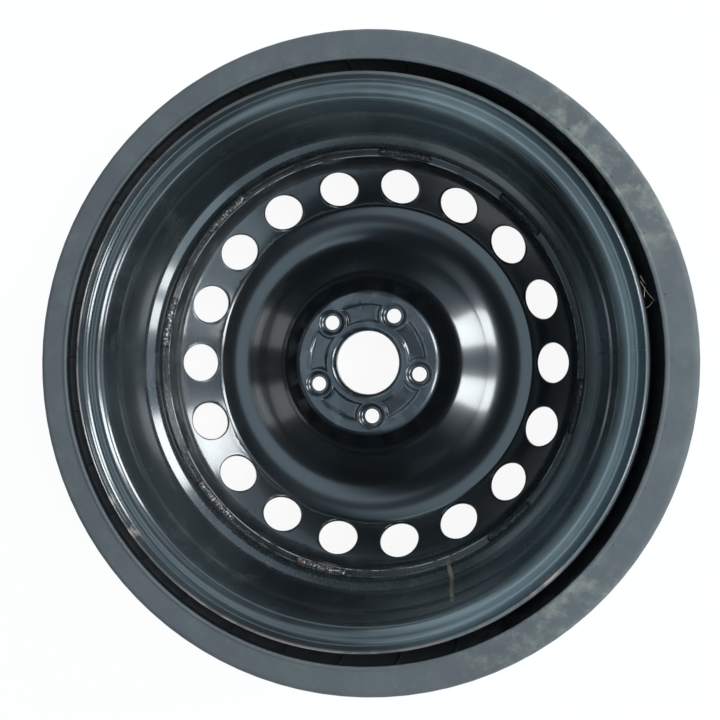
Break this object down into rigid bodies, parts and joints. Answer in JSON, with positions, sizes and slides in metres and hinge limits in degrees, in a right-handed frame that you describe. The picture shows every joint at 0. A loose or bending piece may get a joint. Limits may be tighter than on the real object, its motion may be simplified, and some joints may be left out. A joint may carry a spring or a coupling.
{
  "type": "folding spare wheel",
  "caption": "Narrow temporary spare car wheel: a rolled steel rim with a welded pressed disc, and a tyre stored deflated with its sidewalls folded in under the tread",
  "frame": {"origin": "centre of the hub mounting face, on the wheel's axis", "axes": "+Z along the wheel's axis to the inboard side, which faces the hub; +X through the middle of a vent; the wheel lies on its outboard flange, inboard side up"},
  "size_m": [0.5849, 0.585, 0.1891],
  "materials": {
    "rim_steel": "gloss black paint, scratched on the flange",
    "disc_steel": "gloss black paint",
    "weld_steel": "weld bead, partly bare, with a little rust",
    "tyre": "matt rubber with dust",
    "valve_rubber": "smooth",
    "valve_brass": "turned",
    "seal_rubber": "smooth",
    "spring_steel": "drawn wire",
    "cap_plastic": "matt black"
  },
  "bodies": {
    "wheel": {"rim": "rim_steel", "wheel_disc": "disc_steel", "weld_stitches": "weld_steel", "tyre": "tyre", "valve_body": "valve_rubber", "valve_stem": "valve_brass", "core_plug": "valve_brass", "core_barrel": "valve_brass", "barrel_gasket": "seal_rubber", "core_spring": "spring_steel"},
    "cap": {"valve_cap": "cap_plastic", "cap_gasket": "seal_rubber"},
    "pin": {"core_pin": "valve_brass", "core_cup": "valve_brass", "cup_seal": "seal_rubber"}
  },
  "joints": [
    {"name": "cap_off", "type": "slide", "parent": "wheel", "child": "cap", "axis": [0.7065, 0.4079, -0.5783], "range_m": [0, 0.0105]},
    {"name": "pin_press", "type": "slide", "parent": "wheel", "child": "pin", "axis": [-0.7065, -0.4079, 0.5783], "range_m": [0, 0.0015], "stiffness_N_per_m": 400, "springref_m": -0.001, "deforming": ["core_spring"]}
  ]
}
